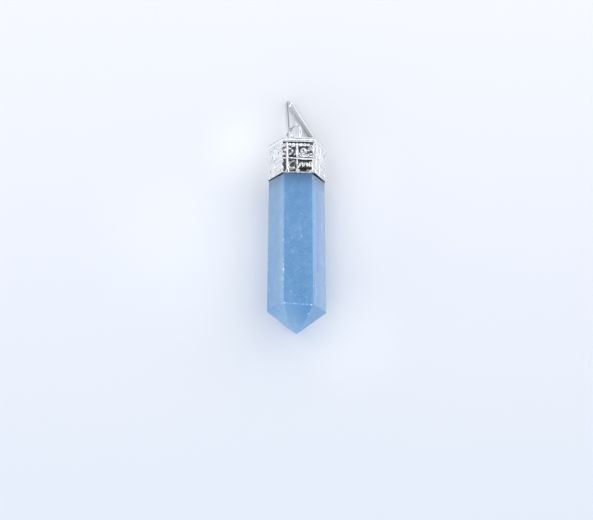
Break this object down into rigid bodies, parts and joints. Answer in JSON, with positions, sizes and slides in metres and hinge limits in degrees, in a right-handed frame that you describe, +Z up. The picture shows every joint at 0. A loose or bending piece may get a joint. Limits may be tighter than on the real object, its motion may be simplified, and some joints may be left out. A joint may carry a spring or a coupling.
{
  "type": "crystal point pendant",
  "caption": "Six-sided pale blue crystal point in a stamped silver-plated cap, with a soldered eye ring and a loose triangular bail, lying on its side.",
  "frame": {"origin": "on the surface that the pendant lies on, under the middle of its box", "axes": "+Y along the crystal from its point to the head of the bail, +Z up from the surface, +X to the right seen from above with the bail away from the viewer"},
  "size_m": [0.0094, 0.0392, 0.0081],
  "materials": {
    "crystal": "polished milky translucent",
    "silver_plate": "bright silver plate"
  },
  "bodies": {
    "root": {"crystal": "crystal", "cap": "silver_plate", "bail": "silver_plate"}
  },
  "joints": []
}
